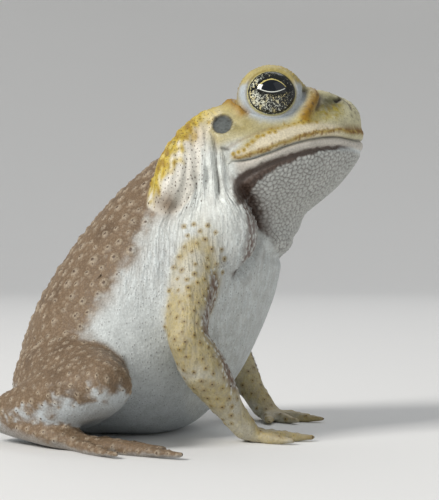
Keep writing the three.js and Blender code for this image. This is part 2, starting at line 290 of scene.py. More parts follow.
HEAD_PITCH = math.radians(15)
HEAD_PIVOT = np.array((15, 0, 70))  # the joint of skull and neck, where the skull's own line starts
EYE_CENTRE = np.array([sum(ends) / 2 for ends in zip(*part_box("eye_right"))]) / MM
EYE_RADIUS = (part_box("eye_right")[1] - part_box("eye_right")[0])[2] / 2 / MM
EYE_OUT = Vector((0.08, -1, 0.13)).normalized()
EYE_FORE = Vector((1, 0, 0.02)).cross(EYE_OUT).cross(EYE_OUT).normalized() * -1
EYE_UP = EYE_OUT.cross(EYE_FORE)
OPENING_FORE, OPENING_TOP, OPENING_LOW = (math.radians(angle) for angle in (62, 55, 56))
LID_EDGE = 0.5  # how far the lid stands off the eyeball at its edge
LID_COLLAR = 0.95  # and a little further out
LID_TUCK = 1.2  # how deep in the eyeball the skin ends
LID_REACH = 8  # how far out over the skull the lid is formed
LID_ROUNDS = (14, 14, 14, 10, 6, 3, 0)  # of smoothing between the steps that fit the lid to the eyeball
LID_SWELL = 0.5  # of the lid before and behind the eyeball
CURVE_STEPS = 10  # of a smooth line between two of its stations
FINE_NEAR_EYE = 10
FINE_ABOVE_MOUTH, FINE_BELOW_MOUTH = 2.6, -21

pitch_cos, pitch_sin = math.cos(HEAD_PITCH), math.sin(HEAD_PITCH)


def on_skull(fore, side, rise):
    """A place given along, beside and above the skull's own line, in the toad's frame."""
    return (HEAD_PIVOT[0] + fore * pitch_cos - rise * pitch_sin, side,
            HEAD_PIVOT[2] + fore * pitch_sin + rise * pitch_cos)


def ring(distance, width):
    """A soft hump of the given half width round distance 0."""
    return np.exp(-(distance / width) ** 2)


def smooth_line(stations):
    """A smooth curve through a few places."""
    held = np.array(stations, float)
    held = np.vstack((2 * held[0] - held[1], held, 2 * held[-1] - held[-2]))
    t = np.linspace(0, 1, CURVE_STEPS, endpoint=False)[:, None]
    pieces = []
    for a, b, c, d in zip(held, held[1:], held[2:], held[3:]):
        bend, twist = 2 * a - 5 * b + 4 * c - d, 3 * b - a - 3 * c + d
        pieces.append(0.5 * (2 * b + (c - a) * t + bend * t ** 2 + twist * t ** 3))
    return np.vstack(pieces + [held[-2:-1]])


# The slit of the mouth, along and above the skull's line, from its corner to the tip of the snout
mouth = smooth_line([(3.4, -5.2), (5.8, -5.6), (8.4, -5.7), (10.6, -5.5), (13, -5.3), (16.7, -4.8),
                     (21.3, -4.6), (25.9, -4.9), (29, -5.5), (31.2, -6.4), (33, -7.1), (36, -7.5)])


def from_skull():
    """Places along the skull's line, out from the midline, above the line and above the mouth's slit."""
    x, z = points[:, 0] - HEAD_PIVOT[0], points[:, 2] - HEAD_PIVOT[2]
    fore, rise = x * pitch_cos + z * pitch_sin, z * pitch_cos - x * pitch_sin
    return fore, np.abs(points[:, 1]), rise, rise - np.interp(fore, *mouth.T)


def folded():
    """The skin's points, with those of the left side mirrored to the right."""
    return points * (1, 0, 1) - np.abs(points) * (0, 1, 0)


def length(vectors):
    """The length of each of many vectors."""
    return np.linalg.norm(vectors, axis=1)


fore, side, rise, above_mouth = from_skull()
on_face = (share("head", "lower_jaw") > 0.5) & (fore > 0)
on_face &= (above_mouth < FINE_ABOVE_MOUTH) & (above_mouth > FINE_BELOW_MOUTH)
fine = (length(folded() - EYE_CENTRE) < FINE_NEAR_EYE) | on_face
write_form()
form = bmesh.new()
form.from_mesh(skin.data)
form.verts.ensure_lookup_table()
cut = {edge for face in form.faces if all(fine[corner.index] for corner in face.verts) for edge in face.edges}
bmesh.ops.subdivide_edges(form, edges=list(cut), cuts=1, use_grid_fill=True)
form.to_mesh(skin.data)
form.free()
points, edges, degree = vertex_places(skin)
owner = nearest_owner()
fore, side, rise, above_mouth = from_skull()


def lid_angles():
    """How far each point lies past the lid's edge and from the eyeball's middle, and its ray from there."""
    ray = folded() - EYE_CENTRE
    distance = length(ray)
    ray /= distance[:, None]
    off_axis = np.arccos(np.clip(ray @ np.array(EYE_OUT), -1, 1))
    eye_x, eye_y = ray @ np.array(EYE_FORE), ray @ np.array(EYE_UP)
    across = np.hypot(eye_x, eye_y) + 1e-9
    opening_y = np.where(eye_y > 0, OPENING_TOP, OPENING_LOW)
    opening = 1 / np.hypot(eye_x / across / OPENING_FORE, eye_y / across / opening_y)
    round_ball = (off_axis - opening) * EYE_RADIUS
    past_edge = np.maximum(round_ball, across * distance - EYE_RADIUS * np.sin(opening))
    return np.where(off_axis < math.pi / 2, past_edge, round_ball), distance, ray


for rounds in LID_ROUNDS:
    past_edge, distance, ray = lid_angles()
    held_by_eye = ease((EYE_RADIUS + 3.4 - distance) / 2.2) * (past_edge < LID_REACH)
    inner = EYE_RADIUS - LID_TUCK + (LID_TUCK + LID_EDGE) * ease((past_edge + 0.35) / 0.7)
    collar = inner + (LID_COLLAR - LID_EDGE) * ease(past_edge / 3)
    kept = np.maximum(distance, EYE_RADIUS + 0.7)
    lid = ease(1 - (past_edge - 1.2) / 3.2) * held_by_eye
    on_lid = kept + (collar - kept) * lid
    new_distance = np.where(past_edge < 0.8, collar, distance + (on_lid - distance) * held_by_eye)
    new_distance = np.where(distance < EYE_RADIUS + 5.5, new_distance, distance)
    moved = EYE_CENTRE + ray * new_distance[:, None]
    moved[:, 1] *= np.where(points[:, 1] > 0, -1, 1)
    points = moved
    around_lid = ease((past_edge + 3.5) / 1.5) * ease((9 - past_edge) / 3.5) * (distance < EYE_RADIUS + 7)
    points = spread(points, rounds, around_lid[:, None])
lid_band = ease(1 - (past_edge - 1.2) / 2.2) * held_by_eye
fore_and_aft = (ray @ np.array(EYE_FORE)) ** 2 * ease((ray @ np.array(EYE_UP) + 0.3) / 0.3)
swollen = ring(past_edge - 3, 2.3) * fore_and_aft * (distance < EYE_RADIUS + 4)
points += facing() * (LID_SWELL * swollen)[:, None]

# Skin: ridges, lips and snout
# Low bony ridges run behind the eye and down in front of it. The upper lip is a firm roll that overhangs the
# slit of the mouth, the lower lip a softer one with a groove below it, and the nostrils are small pits.

POST_RIDGE_HEIGHT, FRONT_RIDGE_HEIGHT, RIDGE_WIDTH = 1.3, 1.0, 1.3
NOTCH_DEPTH, RIDGE_FRONT_DEPTH = 0.7, 0.45  # behind the front ridge, and in front of it
UPPER_LIP_HEIGHT, LOWER_LIP_HEIGHT = 0.35, 0.3
SLIT_DEPTH, GROOVE_DEPTH = 0.75, 0.6
NOSTRIL_RIM_HEIGHT, NOSTRIL_DEPTH, NOSTRIL_FOLD_DEPTH = 0.35, 0.9, 0.25
CHEEK_LINE_DEPTH, CORNER_DEPTH = 0.2, 0.3
UNDER_SNOUT, SNOUT_TIP, OVER_EAR = -0.6, 1.0, 1.2  # how far the form is drawn in or filled out there
NOTCH_ROUNDS = 14


def reach(stations):
    """Each point's distance from a line on the right side, or its mirror image, and its place along it."""
    places, drawn = folded(), []
    for station in stations:
        drawn.append(places[length((places - station) * (1, 0.3, 1)).argmin()])
    line = smooth_line(drawn)
    lowest, highest = line.min(0) - 6, line.max(0) + 6
    close = np.all((places > lowest) & (places < highest), axis=1)
    gaps = np.linalg.norm(places[close][:, None] - line[None], axis=2)
    distance, along = np.full(len(points), 99.0), np.zeros(len(points))
    distance[close] = gaps.min(1)
    along[close] = gaps.argmin(1) / (len(line) - 1)
    return distance, along


def reach_on_skull(*stations):
    """The same for a line whose stations are given from the skull's own line."""
    return reach([on_skull(*station) for station in stations])


def tapered(along, ends=0.25):
    """Fades a line's effect towards both of its ends."""
    return ease(np.minimum(along, 1 - along) / ends)


post_distance, post_along = reach_on_skull((4.0, -9.5, 10.2), (5.4, -11.5, 10.4), (6.7, -13, 9.5),
                                           (7.6, -15.5, 7.6), (8.2, -17, 6.2), (8.8, -19, 4.2))
post_ridge = ring(post_distance, RIDGE_WIDTH) * tapered(post_along)
front_distance, front_along = reach_on_skull((25.0, -9, 7.7), (25.5, -11, 6.0), (25.0, -14, 4.0),
                                             (23.2, -17, 1.7), (22.0, -18.5, -0.1))
front_ridge = ring(front_distance, RIDGE_WIDTH) * tapered(front_along, 0.2)
notch_distance, _ = reach_on_skull((24.3, -8.2, 8.0), (23.7, -11.5, 7.2), (22.9, -14.2, 5.4))

on_jaws = ease((fore - 2.4) / 2.6) * (rise > -13)
slit = ring(above_mouth, 0.34) * on_jaws
upper_lip = ring(above_mouth - 1.5, 1.1) * on_jaws
lower_lip = ring(above_mouth + 1.3, 0.9) * on_jaws
lip_groove = smooth_line([(2.9, -10.8), (4.1, -10), (6.4, -9.1), (9.1, -8.3), (12.4, -7.7), (16, -7.3),
                          (20.6, -7.1), (25.7, -7.3), (30.3, -8.1), (34, -9.6)])
below_lip = rise - np.interp(fore, *lip_groove.T)
groove = ring(below_lip, 0.75) * on_jaws * ease((33 - fore) / 5)
relief = (POST_RIDGE_HEIGHT * post_ridge + FRONT_RIDGE_HEIGHT * front_ridge
          - NOTCH_DEPTH * ring(notch_distance, 0.75) + UPPER_LIP_HEIGHT * upper_lip
          + LOWER_LIP_HEIGHT * lower_lip - SLIT_DEPTH * slit - GROOVE_DEPTH * groove)
nostril_distance, _ = reach_on_skull((30.4, -6.6, 3.1), (31.0, -6.0, 3.4), (31.9, -5.2, 3.7))
nostril_rim, nostril_rim_along = reach_on_skull((31.6, -5, 3.9), (32.6, -4.4, 3.4), (33.4, -4.2, 2.6),
                                                (33.9, -4.4, 1.1), (33.7, -5.2, -0.2))
relief += NOSTRIL_RIM_HEIGHT * ring(nostril_distance, 1.3) - NOSTRIL_DEPTH * ring(nostril_distance, 0.38)
lip_fold, lip_fold_along = reach_on_skull((1.9, -22, -1.9), (4.2, -22, -1.7), (6.4, -21.5, -1.1),
                                          (10.5, -21, -0.3), (14.4, -20, 0.2), (17.6, -19.5, 0.2))
cheek_line = ring(lip_fold, 0.4) * tapered(lip_fold_along, 0.2)
corner_mark, _ = reach_on_skull((1.7, -22, -1.6), (2.3, -22, -1.8), (3.0, -22, -2.1))
relief -= CHEEK_LINE_DEPTH * cheek_line + CORNER_DEPTH * ring(corner_mark, 0.45)
relief -= NOSTRIL_FOLD_DEPTH * ring(nostril_rim, 0.5) * tapered(nostril_rim_along, 0.2)
past_ridge = ease((fore - np.interp(rise, (-0.1, 1.7, 4, 6, 7.7), (22, 23.2, 25, 25.5, 25))) / 0.8)
ridge_front = ring(front_distance - 1.9, 0.6) * past_ridge * tapered(front_along, 0.12)
ridge_front *= ease((rise - 1) / 1.5)
relief -= RIDGE_FRONT_DEPTH * ridge_front
relief += UNDER_SNOUT * ring(length(points - on_skull(36, 0, -5)), 3.5)
relief += SNOUT_TIP * ring(length(points - on_skull(34.3, 0, 1.4)), 4.8)
relief += OVER_EAR * ring(length(np.abs(points) - (14, 9.5, 78)), 6.5)
points += facing() * (relief * (1 - lid_band))[:, None]
points = spread(points, NOTCH_ROUNDS, ease((2.4 - notch_distance) / 1.4)[:, None])

# Skin: the eardrums
# Each eardrum is a thin disc of bare skin drawn taut in a bony ring, a little sunk, with the ear bone's small
# boss in its middle.

EAR_CENTRE = np.array(on_skull(3.1, -21.3, 4.3))
EAR_RADIUS = 2.4
EAR_RIM, EAR_SUNK, EAR_BOSS = 0.28, 0.35, 0.18  # height of the ring, depth of the disc, height of the boss

from_ear = length((folded() - EAR_CENTRE) * (1, 0.15, 1)) + 9 * (side < 12)
eardrum = ease((EAR_RADIUS + 0.15 - from_ear) / 0.5)
rim = ring(from_ear - EAR_RADIUS - 0.35, 0.45)
relief = EAR_RIM * rim - EAR_SUNK * eardrum + EAR_BOSS * ring(from_ear, 0.8)
points += facing() * relief[:, None]

# Skin: folds of the neck, throat and breast
# Behind the jaws loose skin hangs in upright folds. The throat pouch ends in a small lobe, and a deep crease
# parts it from the swell of the breast.

CREASE_DEPTH, BREAST_SWELL = 2.4, 1.5
LOBE_HEIGHT, UNDER_LOBE, SOFT_FOLD_HEIGHT = 1.3, 0.8, 0.32
FOLD_REACH = 0.3  # the share of its length over which a fold fades out at either end
NECK_FOLDS = [  # where each fold runs, how deep it is and how wide
    ([(13.3, -20.5, 76), (13.0, -21.5, 70), (13.3, -20.5, 64), (13.8, -19, 59)], 0.6, 0.6),
    ([(14.8, -21.5, 74), (15.2, -22, 69), (15.7, -21, 63.5), (16.2, -19.5, 59), (16.4, -18, 54)], 1.2, 0.65),
    ([(17.0, -22, 69.5), (17.6, -21, 65), (18.2, -20, 60), (18.6, -18.5, 56)], 0.35, 0.6),
    ([(11.0, -20, 66), (11.4, -20.5, 61), (11.3, -20, 56), (10.4, -20, 51)], 0.4, 0.8),
    ([(17.2, -21.5, 77.2), (19.5, -21.5, 75.9), (22.5, -21, 73.5)], 0.3, 0.5),
]
relief, neck_fold = np.zeros(len(points)), np.zeros(len(points))
for stations, depth, width in NECK_FOLDS:
    fold_distance, fold_along = reach(stations)
    fading = tapered(fold_along, FOLD_REACH)
    neck_fold = np.maximum(neck_fold, ease(depth * 2 - 1) * ring(fold_distance, 0.4) * fading)
    relief -= depth * ring(fold_distance, width) * fading
    relief += 0.35 * depth * ring(fold_distance - 1.3, 0.8) * fading
crease_distance, crease_along = reach([(20.6, -19, 61.4), (22.5, -17.5, 58.4), (24.3, -16, 55.6),
                                       (25.8, -15, 52.3), (26.3, -14, 48.6), (25, -15, 44.5), (22, -17, 41),
                                       (18.3, -20, 38)])
relief -= CREASE_DEPTH * (ring(crease_distance, 1.3) * tapered(crease_along, 0.15))
swell_distance, swell_along = reach([(16.5, -20, 59), (19, -19, 55), (21.5, -17, 50), (21.3, -18, 45),
                                     (18, -20, 41)])
relief += BREAST_SWELL * ring(swell_distance, 3.6) * tapered(swell_along, 0.3)
relief += LOBE_HEIGHT * ring(length(folded() - (30.5, -8, 47.5)), 3.2)
under_lobe, _ = reach([(27.5, -11, 44), (29.5, -9, 43), (31.5, -5, 42.5), (32, 0, 42.5)])
relief -= UNDER_LOBE * ring(under_lobe, 1.2)
points += facing() * relief[:, None]


def mottle(size, shift, places=None):
    """A smooth random value from about -1 to 1 at each vertex, in patches of the given size."""
    places = points if places is None else places
    return np.array([noise.noise(Vector(place) / size + Vector((shift, 0, 0))) for place in places]) * 1.6


def fan_places():
    """The skin unrolled round an upright line through the body, so that wrinkles fan out and run down it."""
    x, z, side = points[:, 0], points[:, 2], np.abs(points[:, 1])
    turn = np.arctan2(x - 2, np.maximum(side, 2))
    return np.stack(((turn - 0.52) * 20 * (1 + 1.1 * ease((z - 50) / 16)), z, np.zeros(len(x))), axis=1)


# The broad soft folds that the loose skin of the breast and neck hangs in
loose = share("trunk", "gland", rounds=20) * ease((points[:, 0] + 2) / 8) * ease((points[:, 2] - 22) / 12)
broad = mottle(1, 5, fan_places() / (2.6, 15, 1)) + 0.5 * mottle(1, 8, fan_places() / (1.3, 10, 1))
points += facing() * (SOFT_FOLD_HEIGHT * broad * loose)[:, None]

# Skin: warts and grains
# Round horny warts with dark tips cover the back, the hind legs and the arms, and small ones follow the lips,
# brow and eyelids. Pores open in the glands and beside them. The throat is packed with oval grains like
# pebbles. All of them are part of the skin itself.

WART_KINDS = {  # smallest and largest radius, height to radius, least spacing, and length to width
    "back": (0.75, 1.45, 0.42, 3.0, 1.0),
    "back_small": (0.3, 0.6, 0.4, 1.4, 1.0),
    "leg": (0.5, 0.95, 0.4, 2.3, 1.0),
    "arm": (0.55, 0.9, 0.22, 2.2, 1.0),
    "arm_edge": (0.32, 0.5, 0.7, 1.0, 1.8),
    "breast_edge": (0.38, 0.52, 0.75, 1.15, 1.6),
    "brow": (0.3, 0.5, 0.35, 0.95, 1.0),
    "lid": (0.22, 0.4, 0.5, 0.55, 1.0),
    "ridge": (0.25, 0.5, 0.4, 0.7, 1.0),
    "lip_edge": (0.4, 0.8, 0.3, 1.1, 1.0),
    "lip_rim": (0.22, 0.5, 0.35, 0.5, 1.0),
    "snout": (0.2, 0.45, 0.3, 1.1, 1.0),
    "pore": (0.26, 0.62, -0.25, 0.9, 1.6),
    "ear_rim": (0.2, 0.32, 0.45, 0.5, 1.0),
}
DOME_REACH = 1.25  # how far a wart's foot spreads, in its radii
PEBBLE_GAP = 0.92  # least distance between the throat's grains
PEBBLE_HEIGHT = 0.4
PEBBLE_WAY = math.radians(42)  # the way that the pebbles are drawn out, forwards and up
PEBBLE_STRETCH = 0.36
BORDER_WAY = (0.861, -0.509)  # squarely across the line that parts the brown back from the white belly
WART_TRIES, PEBBLE_TRIES = 12000, 40000  # the most places that one kind may try

rng = np.random.default_rng(17)
fore, side, rise, above_mouth = from_skull()
below_lip = rise - np.interp(fore, *lip_groove.T)
x, y, z = points.T


def past_border():
    """How far each point lies in front of the line between back and belly."""
    return (x - 3) * BORDER_WAY[0] + (z - 55) * BORDER_WAY[1]


belly_side = past_border()
trunk, hind = share("trunk"), share("thigh", "shank", "foot")
shoulder = ring(np.hypot(x - 12.5, (z - 44) * 0.6), 3.6) * ease(side / 4 - 4) * trunk
arm, hand, foot = share("upper_arm", "forearm"), share("hand"), share("foot")
gland, throat, head = share("gland", rounds=12), share("lower_jaw", rounds=4), share("head", "eardrum", "eye")
gland_spread = ease(gland * 2.5)
turned = facing()
up = turned[:, 2]
outer_front = turned[:, 1] * np.sign(y) > -0.15
arm_edge = ring(turned[:, 0] - 0.92, 0.13) * outer_front * arm * ease((z - 11) / 3) * ease((49 - z) / 3)
breast_edge = (ring(turned[:, 0] - 0.84, 0.2) * outer_front * trunk * (1 - arm) * ease((z - 40) / 3)
               * ease((59 - z) / 4) * (x > 14) * (side > 17))
white_side = ease((x + 1) / 3) * ease((14 - x) / 3) * ease((z - 54) / 4) * ease((78 - z) / 4) * (side > 10)
lip_top = smooth_line([(3.4, -3.6), (7.2, -2.6), (9.7, -1.7), (12.4, -0.8), (14.9, -0.4), (17.8, -0.3),
                       (21, -0.3), (24.6, -0.9), (29, -2.2), (34, -3.2)])
below_edge = np.interp(fore, *lip_top.T) - rise
rim_height = np.interp(fore, (3, 20, 26, 32), (0.9, 1.0, 1.3, 2.2))  # of the dotted strip above the mouth
edge_row = ring(below_edge + 0.1, 0.55) * on_jaws * ease((27 - fore) / 4) * head
rim_row = ring(above_mouth - rim_height - 0.25 * mottle(2, 40), 0.6) * on_jaws * head
lid_top = ease((rise - 11.6 + 0.4 * np.maximum(fore - 15, 0) + 0.4 * mottle(1.3, 50)) / 2.4) * (
    np.abs(past_edge) < LID_REACH)
crown = head * ease((rise - 8 + mottle(3.5, 10)) / 4)
on_throat = ease(throat * 2) * ease((-below_lip - 0.5) / 0.9) * ease((fore + 1) / 3)
wart_weights = {
    "back": ease(-belly_side / 4) * trunk * (1 - gland) * (1 - head),
    "back_small": (ease(-belly_side / 4 + 0.4) * trunk * (1 - gland)
                   + 0.6 * hind * ease(up * 2 + 0.9)) * (1 - head),
    "leg": hind * ease(up * 2 + 0.9) * (1 - foot * 0.6) * 0.9,
    "arm": (arm + shoulder) * 0.85 * ease((53 - z) / 4) * ease(side / 4 - 3) + hand * 0.3 * ease(up * 2),
    "arm_edge": arm_edge,
    "breast_edge": breast_edge,
    "pore": np.maximum(0.8 * gland_spread * ease((fore + 18) / 6), 0.5 * white_side) * (1 - head),
    "ear_rim": ring(from_ear - EAR_RADIUS - 0.35, 0.3) * (rise < 5),
    "brow": 0.35 * crown,
    "lid": lid_top * ease((past_edge - 0.7) / 0.6) * ease((7 - past_edge) / 2),
    "ridge": 0.8 * ring(post_distance, 1.2) * tapered(post_along) + 0.6 * front_ridge,
    "lip_edge": edge_row ** 2,
    "lip_rim": rim_row ** 2,
    "snout": 0.35 * ease((fore - 25) / 3) * ease((6 - rise) / 3) * ease((rise + 2.5) / 1.5) * head,
}
places = kdtree.KDTree(len(points))
for index, point in enumerate(points):
    places.insert(point, index)
places.balance()


def scattered(weight, gap, tries=WART_TRIES):
    """Vertices picked at random where the weight allows, none nearer to another than the gap."""
    taken, cells = [], {}
    for index in rng.permutation(np.flatnonzero(weight > 0.05))[:tries]:
        if rng.random() > weight[index]:
            continue
        cell = tuple((points[index] // gap).astype(int))
        around_it = [cells.get((cell[0] + i, cell[1] + j, cell[2] + k), [])
                     for i in (-1, 0, 1) for j in (-1, 0, 1) for k in (-1, 0, 1)]
        if all(np.linalg.norm(points[other] - points[index]) > gap for group in around_it for other in group):
            cells.setdefault(cell, []).append(index)
            taken.append(index)
    return taken


domes = {kind: np.zeros(len(points)) for kind in WART_KINDS}
wart_edge = np.full(len(points), 1.3)  # distance from the nearest wart's middle, 1 at its edge
relief = np.zeros(len(points))
for kind, (least, most, height, gap, stretch) in WART_KINDS.items():
    for centre in scattered(wart_weights[kind], gap):
        radius = least + (most - least) * rng.random() ** 1.7
        found = places.find_range(points[centre], radius * DOME_REACH * stretch)
        spots = np.array([index for _, index, _ in found])
        near = length((points[spots] - points[centre]) / (1, 1, stretch)) / radius
        hump = np.clip(1 - near ** 2 / 1.56, 0, 1) ** 1.5
        swelling = radius * height * hump
        relief[spots] = np.maximum(relief[spots], swelling) if height > 0 else relief[spots] + swelling
        domes[kind][spots] = np.maximum(domes[kind][spots], hump)
        wart_edge[spots] = np.minimum(wart_edge[spots], near)

# The throat's pebbles. Each point lies on the nearest of many seeds, and between two pebbles runs a groove
pebble_way = np.array((math.cos(PEBBLE_WAY), 0, math.sin(PEBBLE_WAY)))
seeds = scattered(on_throat, PEBBLE_GAP, PEBBLE_TRIES)
packed = points - np.outer(points @ pebble_way, pebble_way) * PEBBLE_STRETCH
pebble_middles = kdtree.KDTree(len(seeds))
for number, seed in enumerate(seeds):
    pebble_middles.insert(packed[seed], number)
pebble_middles.balance()
pebble, bead = np.zeros(len(points)), np.zeros(len(points))  # both 0 in the groove between two pebbles
for index in np.flatnonzero(on_throat > 0.01):
    first, second = pebble_middles.find_n(packed[index], 2)
    pebble[index] = (second[2] - first[2]) / PEBBLE_GAP
    bead[index] = max(1 - (first[2] / PEBBLE_GAP / 0.8) ** 2, 0)
relief += PEBBLE_HEIGHT * on_throat * (1 - (1 - np.clip(pebble * 1.5, 0, 1)) ** 2) * (0.35 + 0.65 * bead)
smooth_lid = lid_band * (1 - ease(past_edge / 0.8) * lid_top)
points += facing() * (relief * (1 - smooth_lid))[:, None]
points[:, 2] = np.maximum(points[:, 2], 0.02)

# Skin: the markings
# The skin's own colours, laid on region by region over a brown ground, with wavering borders, and painted
# shade in its grooves, creases, folds and pits. They are kept on the vertices, and the finer spots and grains
# are added in the material.

# The dark brown of the back's blotches and spots also serves as painted shade in front of the front ridge and
# along the fold before each nostril
BACK_BROWN, DARK_BROWN_AND_SHADE, WART_PALE = (0.22, 0.15, 0.09), (0.09, 0.055, 0.03), (0.46, 0.38, 0.28)
BELLY_WHITE, BELLY_BLUE, BREAST_WHITE = (0.67, 0.71, 0.70), (0.47, 0.51, 0.54), (0.84, 0.88, 0.84)
# The dark red-brown along the forward edges of breast and arms is painted shade between their white grains
ARM_CREAM, ARM_OLIVE, EDGE_SHADE_RED = (0.52, 0.43, 0.20), (0.36, 0.26, 0.08), (0.12, 0.045, 0.025)
CHEEK_CREAM, CHEEK_OLIVE, CROWN_OLIVE = (0.62, 0.58, 0.38), (0.42, 0.35, 0.14), (0.30, 0.22, 0.08)
NECK_YELLOW, SNOUT_PALE, SNOUT_GREY = (0.46, 0.38, 0.17), (0.70, 0.66, 0.42), (0.085, 0.08, 0.022)
SNOUT_YELLOW, RIDGE_ORANGE = (0.54, 0.43, 0.045), (0.33, 0.17, 0.008)
GLAND_YELLOW, GLAND_ORANGE, GLAND_PINK = (0.62, 0.47, 0.06), (0.34, 0.19, 0.025), (0.82, 0.79, 0.70)
GLAND_LIGHT = (0.70, 0.60, 0.25)
LID_WHITE, LID_BEIGE, EAR_SLATE = (0.47, 0.52, 0.55), (0.50, 0.42, 0.17), (0.13, 0.145, 0.14)
LIP_PINK, LIP_YELLOW, LIP_BROWN = (0.80, 0.72, 0.53), (0.50, 0.34, 0.05), (0.23, 0.11, 0.02)
LOWER_LIP, THROAT_GREY = (0.64, 0.60, 0.53), (0.58, 0.59, 0.56)
# The groove brown is the brown skin below the lower lip and in the breast's crease, and also painted shade in
# grooves, creases and folds. The black is the eardrum's dark marks, and painted shade in notches, pits and
# the mouth's slit.
GROOVE_BROWN_AND_SHADE, SHADE_AND_MARK_BLACK = (0.075, 0.045, 0.032), (0.02, 0.014, 0.008)

waver = mottle(3.5, 10)
blotch = mottle(7, 30)
fleck = mottle(1.3, 50)
fine_fleck = mottle(0.6, 70)
fore, side, rise, above_mouth = from_skull()
x, y, z = points.T
tone = np.tile(np.array(BACK_BROWN), (len(points), 1))


def lay(colour, mask):
    """Lays a colour over the skin where the mask is strong."""
    global tone
    tone = tone + (np.array(colour) - tone) * np.clip(mask, 0, 1)[:, None]


def patch(at_fore, at_rise, long, high):
    """An oval patch on the sides of the head."""
    return np.exp(-((fore - at_fore) / long) ** 2 - ((rise - at_rise) / high) ** 2) * head


# Back, belly and breast
lay(DARK_BROWN_AND_SHADE, ease(blotch * 1.6 - 0.2) * 0.5)
lay(WART_PALE, ease(domes["back_small"] * 1.5) * 0.45)
lay(WART_PALE, ease(np.maximum(domes["back"], domes["leg"]) * 1.4) * 0.8)

flank = ease(side / 4 - 3)
belly_side = past_border() + waver * 1.4 + fleck * 0.9
hind_under = hind * (1 - 0.75 * foot) * ease((0.0 - up + 0.3 * waver + 0.35 * fleck) * 1.6)
belly = ease(belly_side / 5 + 0.5) * (1 - hind) * (1 - head) + hind_under
lay(BELLY_WHITE, belly)
lay(BELLY_BLUE, belly * ease((24 - z) / 18) * 0.75)
neck_white = (ease((5 - fore + 0.8 * waver) / 3) * ease((70 - z + 2.5 * waver) / 5) * ease((x - 7) / 3)
              * (1 - hind))
lay(BELLY_WHITE, neck_white)
lay(BREAST_WHITE, np.maximum(neck_white, belly) * ease((z - 42) / 16) * flank * (1 - head))
# Painted shade: dark red-brown where the breast turns forward, away from the main lamp, under its real white
# grains
lay(EDGE_SHADE_RED, breast_edge * 0.9)
lay(BREAST_WHITE, ease(domes["breast_edge"] * 2 - 0.35) * 0.95)

# Arms and hands
arm_skin = np.clip((arm + hand) * ease((50 - z + 2 * waver) / 5) + shoulder * ease(0.9 + waver), 0, 1)
lay(ARM_CREAM, arm_skin * 0.95)
lay(BELLY_WHITE, arm_skin * ease(blotch * 1.5 - 0.1) * 0.5)
lay(ARM_OLIVE, arm_skin * ease(fleck * 1.3 - 0.1) * 0.2)
lay(ARM_OLIVE, ease(domes["arm"] * 1.5) * 0.85)
lay(ARM_OLIVE, hand * ease(up + 0.1) * 0.45)
lay(ARM_OLIVE, arm_skin * ease(1 - np.abs(mottle(1.1, 35)) * 7) * 0.3 * ease((42 - z) / 8))
# Painted shade: dark red-brown where the arm turns forward, away from the main lamp, under its real white
# grains
lay(EDGE_SHADE_RED, arm_edge * 0.9)
lay(BREAST_WHITE, ease(domes["arm_edge"] * 2 - 0.35) * ease(0.75 + 2 * fleck) * 0.9)
lay(ARM_OLIVE, hand * ease((x - 34) / 5) * 0.6)

# Cheeks, crown and nape
lay(CHEEK_CREAM, head * (1 - crown))
lay(CHEEK_OLIVE, patch(8.5, 2.8, 5.5, 3.4) * (0.85 + 0.3 * fleck))
lay(CHEEK_OLIVE, patch(14, 0.6, 5, 2.2) * 0.5)
lay(CHEEK_OLIVE, patch(3.6, 7.8, 3, 2.2) * 0.45)
lay(BELLY_WHITE, ease((1.0 - rise + 0.5 * waver) / 2.5) * ease((9.5 - fore + waver) / 4) * head * 0.85)
lay(CROWN_OLIVE, crown)
nape = ease((fore + 7 + 2.5 * waver) / 6) * ease((rise - 3) / 3) * trunk * (1 - gland)
lay(CROWN_OLIVE, nape * 0.7)
lay(BACK_BROWN, crown * ease((4 - fore + 2.5 * waver) / 5) * 0.6)
lay(CHEEK_OLIVE, crown * ease(fleck * 1.4 + 0.2) * 0.6)
lay(WART_PALE, ease(domes["brow"] * 1.4) * 0.4)
neck_top = ring(fore - 0.5, 3) * ease((z - 67) / 4) * (1 - crown) * flank
lay(NECK_YELLOW, neck_top * 0.55)

# Snout
snout = ease((fore - 23.5 + 0.6 * waver) / 2.5) * head
lay(SNOUT_PALE, snout * ease((rise + 3 + waver) / 3))
lay(CHEEK_OLIVE, snout * ease((rise - 5 + waver) / 2) * 0.5)
lay(SNOUT_GREY, patch(29.3, 3.3, 2.7, 2.3) * ease(0.85 + 0.5 * fine_fleck))
lay(SNOUT_GREY, snout * ease(fleck * 1.5 - 0.3) * ease((rise - 1.5) / 2) * 0.7)
yellow_side = ring(rise - 0.7 - 0.12 * (fore - 25) + 0.7 * waver, 2.0) * ease((33.5 - fore) / 3) * snout
mottled = ease(0.75 + 0.9 * mottle(1.0, 25) + 0.5 * fine_fleck)
lay(SNOUT_YELLOW, yellow_side * mottled * 1.1)
lay(SNOUT_YELLOW, patch(22.8, 0.6, 2.4, 2.4) * 0.85)
lay(SNOUT_GREY, patch(29.6, 3.5, 2.0, 1.5) * 0.9)
lay(LIP_BROWN, yellow_side * ease(fine_fleck * 2.4 - 1.0) * 0.7)
lay(SNOUT_PALE, ease((fore - 31.5) / 1.5) * ease((4 - rise) / 3) * head * 0.8)
lay(DARK_BROWN_AND_SHADE, ease(fine_fleck * 2 - 0.7) * ease((fore - 32.5) / 1.5) * head * 0.7)

